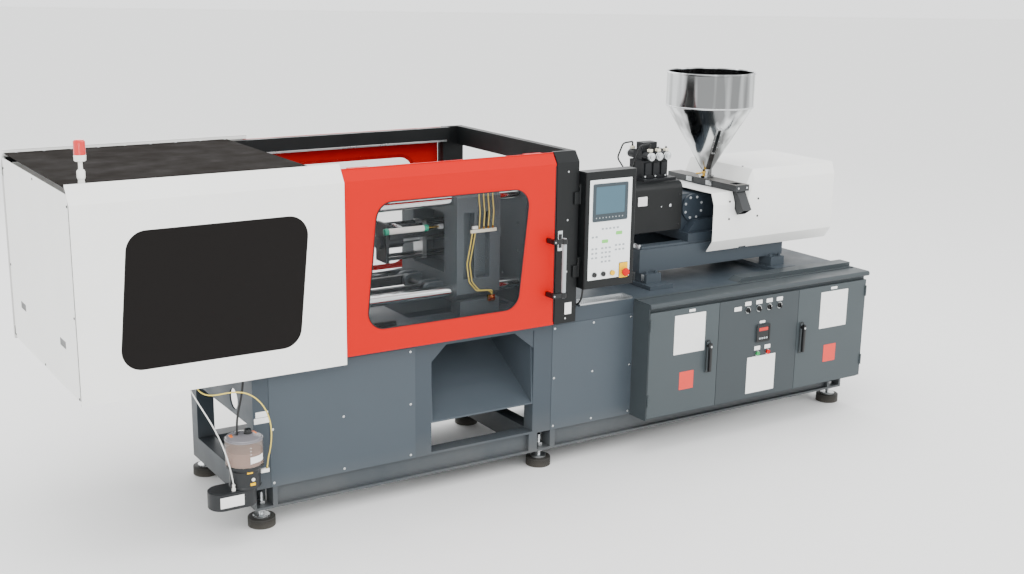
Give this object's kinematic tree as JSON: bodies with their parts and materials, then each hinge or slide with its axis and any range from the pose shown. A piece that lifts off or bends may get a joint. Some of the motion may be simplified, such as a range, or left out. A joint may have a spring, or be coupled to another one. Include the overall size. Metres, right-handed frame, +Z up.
{
  "type": "injection moulding machine",
  "caption": "Horizontal toggle-clamp injection moulding machine with sliding guards, a control pendant, an electrical cabinet, a heated barrel unit and a material hopper on a steel bed.",
  "frame": {"origin": "on the floor, at the middle of the bounding box", "axes": "+X along the machine from the clamp end to the injection end, +Y from the operator's side to the rear, +Z up"},
  "size_m": [4.474, 1.299, 1.944],
  "materials": {
    "base_paint": "satin powder coat",
    "cabinet_paint": "satin powder coat",
    "cover_white": "smooth satin",
    "door_red": "gloss",
    "frame_black": "fine satin",
    "roof_grey": "satin",
    "window_dark": "smooth tinted",
    "rubber_black": "ribbed matt",
    "platen_iron": "machined and painted",
    "machined_steel": "ground",
    "chrome_bar": "polished",
    "dark_iron": "blackened",
    "stainless": "satin",
    "pendant_grey": "satin",
    "switch_black": "smooth",
    "button_yellow": "smooth",
    "button_red": "smooth",
    "button_green": "smooth",
    "lamp_plastic": "smooth",
    "pump_black": "matt",
    "hose_white": "smooth",
    "cable_black": "smooth",
    "handle_grey": "matt",
    "valve_dark": "satin",
    "panel_grey": "satin"
  },
  "bodies": {
    "machine": {"bed_frame": "base_paint", "bed_channels": "base_paint", "bed_panels": "panel_grey", "levelling_feet": "rubber_black", "power_pack": "cover_white", "tail_platen": "platen_iron", "fixed_platen": "platen_iron", "tie_bars": "chrome_bar", "clamp_covers": "cover_white", "clamp_roof_panel": "roof_grey", "clamp_cover_window": "window_dark", "guard_frame": "frame_black", "signal_lamp": "lamp_plastic", "cabinet_body": "cabinet_paint", "lube_pump": "pump_black", "lube_hose_front": "hose_white", "lube_hose_rear": "hose_white", "lube_cable": "cable_black", "pendant_cable": "cable_black", "injection_base": "base_paint"},
    "front_door": {"front_door": "door_red", "front_door_window": "window_dark", "front_door_handle": "handle_grey"},
    "rear_door": {"rear_door": "door_red", "rear_door_window": "window_dark"},
    "clamp_platen": {"moving_platen": "platen_iron", "ejector_unit": "dark_iron"},
    "ejector": {"ejector_plate": "machined_steel"},
    "crosshead": {"crosshead": "machined_steel"},
    "upper_rear_links": {"upper_rear_links": "dark_iron"},
    "lower_rear_links": {"lower_rear_links": "dark_iron"},
    "upper_front_links": {"upper_front_links": "dark_iron"},
    "lower_front_links": {"lower_front_links": "dark_iron"},
    "upper_crosshead_link": {"upper_crosshead_link": "dark_iron"},
    "lower_crosshead_link": {"lower_crosshead_link": "dark_iron"},
    "pendant": {"pendant_box": "pendant_grey"},
    "pendant_button_left": {"pendant_button_left": "switch_black"},
    "pendant_button_right": {"pendant_button_right": "switch_black"},
    "cycle_button": {"cycle_button": "button_yellow"},
    "estop_button": {"estop_button": "button_red"},
    "left_cabinet_door": {"left_cabinet_door": "cabinet_paint"},
    "right_cabinet_door": {"right_cabinet_door": "cabinet_paint"},
    "left_door_latch": {"left_door_latch": "switch_black"},
    "right_door_latch": {"right_door_latch": "switch_black"},
    "selector_switch_1": {"selector_switch_1": "switch_black"},
    "selector_switch_2": {"selector_switch_2": "switch_black"},
    "selector_switch_3": {"selector_switch_3": "switch_black"},
    "selector_switch_4": {"selector_switch_4": "switch_black"},
    "start_button": {"start_button": "button_green"},
    "stop_button": {"stop_button": "button_red"},
    "carriage": {"feed_housing": "dark_iron", "barrel": "machined_steel", "barrel_guard": "frame_black", "injection_shroud": "cover_white", "injection_cylinders": "machined_steel", "valve_block": "valve_dark", "hopper_slide_base": "frame_black"},
    "screw_drive": {"screw_drive": "dark_iron"},
    "screw": {"screw": "machined_steel"},
    "hopper": {"hopper": "stainless"}
  },
  "joints": [
    {"name": "front_door_slide", "type": "slide", "parent": "machine", "child": "front_door", "axis": [-1, 0, 0], "range_m": [0, 1.04]},
    {"name": "rear_door_slide", "type": "slide", "parent": "machine", "child": "rear_door", "axis": [-1, 0, 0], "range_m": [0, 1.04]},
    {"name": "clamp_slide", "type": "slide", "parent": "machine", "child": "clamp_platen", "axis": [-1, 0, 0], "range_m": [0, 0.32496]},
    {"name": "ejector_slide", "type": "slide", "parent": "clamp_platen", "child": "ejector", "axis": [1, 0, 0], "range_m": [0, 0.08]},
    {"name": "crosshead_slide", "type": "slide", "parent": "machine", "child": "crosshead", "axis": [-1, 0, 0], "range_m": [0, 0.3101]},
    {"name": "upper_rear_link_hinge", "type": "hinge", "parent": "machine", "child": "upper_rear_links", "pos_m": [-0.937, -0.0615, 1.41], "axis": [0, 1, 0], "range_deg": [0, 108.2]},
    {"name": "lower_rear_link_hinge", "type": "hinge", "parent": "machine", "child": "lower_rear_links", "pos_m": [-0.937, -0.0615, 0.946], "axis": [0, -1, 0], "range_deg": [0, 108.2]},
    {"name": "upper_front_link_hinge", "type": "hinge", "parent": "clamp_platen", "child": "upper_front_links", "pos_m": [-0.417, -0.0615, 1.41], "axis": [0, -1, 0], "range_deg": [0, 36.43]},
    {"name": "lower_front_link_hinge", "type": "hinge", "parent": "clamp_platen", "child": "lower_front_links", "pos_m": [-0.417, -0.0615, 0.946], "axis": [0, 1, 0], "range_deg": [0, 36.43]},
    {"name": "upper_crosshead_link_hinge", "type": "hinge", "parent": "crosshead", "child": "upper_crosshead_link", "pos_m": [-0.80034, -0.0615, 1.248], "axis": [0, 1, 0], "range_deg": [0, 66.24]},
    {"name": "lower_crosshead_link_hinge", "type": "hinge", "parent": "crosshead", "child": "lower_crosshead_link", "pos_m": [-0.80034, -0.0615, 1.108], "axis": [0, -1, 0], "range_deg": [0, 66.24]},
    {"name": "pendant_hinge", "type": "hinge", "parent": "machine", "child": "pendant", "pos_m": [0.236, -0.5485, 1.241], "axis": [0, 0, -1], "range_deg": [0, 90]},
    {"name": "left_cabinet_door_hinge", "type": "hinge", "parent": "machine", "child": "left_cabinet_door", "pos_m": [0.656, -0.6195, 0.489], "axis": [0, 0, -1], "range_deg": [0, 110]},
    {"name": "right_cabinet_door_hinge", "type": "hinge", "parent": "machine", "child": "right_cabinet_door", "pos_m": [2.219, -0.6195, 0.489], "axis": [0, 0, 1], "range_deg": [0, 110]},
    {"name": "left_door_latch_hinge", "type": "hinge", "parent": "left_cabinet_door", "child": "left_door_latch", "pos_m": [1.049, -0.6265, 0.549], "axis": [0, 1, 0], "range_deg": [0, 90]},
    {"name": "right_door_latch_hinge", "type": "hinge", "parent": "right_cabinet_door", "child": "right_door_latch", "pos_m": [1.729, -0.6265, 0.558], "axis": [0, -1, 0], "range_deg": [0, 90]},
    {"name": "carriage_slide", "type": "slide", "parent": "machine", "child": "carriage", "axis": [1, 0, 0], "range_m": [0, 0.25]},
    {"name": "injection_slide", "type": "slide", "parent": "carriage", "child": "screw_drive", "axis": [1, 0, 0], "range_m": [0, 0.16]},
    {"name": "screw_spin", "type": "hinge", "parent": "screw_drive", "child": "screw", "pos_m": [0.763, -0.0615, 1.178], "axis": [1, 0, 0], "continuous": true},
    {"name": "hopper_slide", "type": "slide", "parent": "carriage", "child": "hopper", "axis": [0, -1, 0], "range_m": [0, 0.254]},
    {"name": "selector_1_turn", "type": "hinge", "parent": "machine", "child": "selector_switch_1", "pos_m": [1.323, -0.6215, 0.709], "axis": [0, 1, 0], "range_deg": [-45, 45]},
    {"name": "selector_2_turn", "type": "hinge", "parent": "machine", "child": "selector_switch_2", "pos_m": [1.403, -0.6215, 0.709], "axis": [0, 1, 0], "range_deg": [-45, 45]},
    {"name": "selector_3_turn", "type": "hinge", "parent": "machine", "child": "selector_switch_3", "pos_m": [1.478, -0.6215, 0.709], "axis": [0, 1, 0], "range_deg": [-45, 45]},
    {"name": "selector_4_turn", "type": "hinge", "parent": "machine", "child": "selector_switch_4", "pos_m": [1.553, -0.6215, 0.709], "axis": [0, 1, 0], "range_deg": [-45, 45]},
    {"name": "start_button_press", "type": "slide", "parent": "machine", "child": "start_button", "axis": [0, 1, 0], "range_m": [0, 0.004], "stiffness_N_per_m": 300},
    {"name": "stop_button_press", "type": "slide", "parent": "machine", "child": "stop_button", "axis": [0, 1, 0], "range_m": [0, 0.004], "stiffness_N_per_m": 300},
    {"name": "pendant_button_left_press", "type": "slide", "parent": "pendant", "child": "pendant_button_left", "axis": [0, 1, 0], "range_m": [0, 0.005], "stiffness_N_per_m": 300},
    {"name": "pendant_button_right_press", "type": "slide", "parent": "pendant", "child": "pendant_button_right", "axis": [0, 1, 0], "range_m": [0, 0.005], "stiffness_N_per_m": 300},
    {"name": "cycle_button_press", "type": "slide", "parent": "pendant", "child": "cycle_button", "axis": [0, 1, 0], "range_m": [0, 0.005], "stiffness_N_per_m": 300},
    {"name": "estop_button_press", "type": "slide", "parent": "pendant", "child": "estop_button", "axis": [0, 1, 0], "range_m": [0, 0.005], "stiffness_N_per_m": 300}
  ],
  "couplings": [
    {"joint": "crosshead_slide", "follows": "clamp_slide", "ratio": 0.95426},
    {"joint": "upper_rear_link_hinge", "follows": "clamp_slide", "rad_per_m": 5.811},
    {"joint": "lower_rear_link_hinge", "follows": "clamp_slide", "rad_per_m": 5.811},
    {"joint": "upper_front_link_hinge", "follows": "clamp_slide", "rad_per_m": 1.9563},
    {"joint": "lower_front_link_hinge", "follows": "clamp_slide", "rad_per_m": 1.9563},
    {"joint": "upper_crosshead_link_hinge", "follows": "clamp_slide", "rad_per_m": 3.5575},
    {"joint": "lower_crosshead_link_hinge", "follows": "clamp_slide", "rad_per_m": 3.5575}
  ]
}
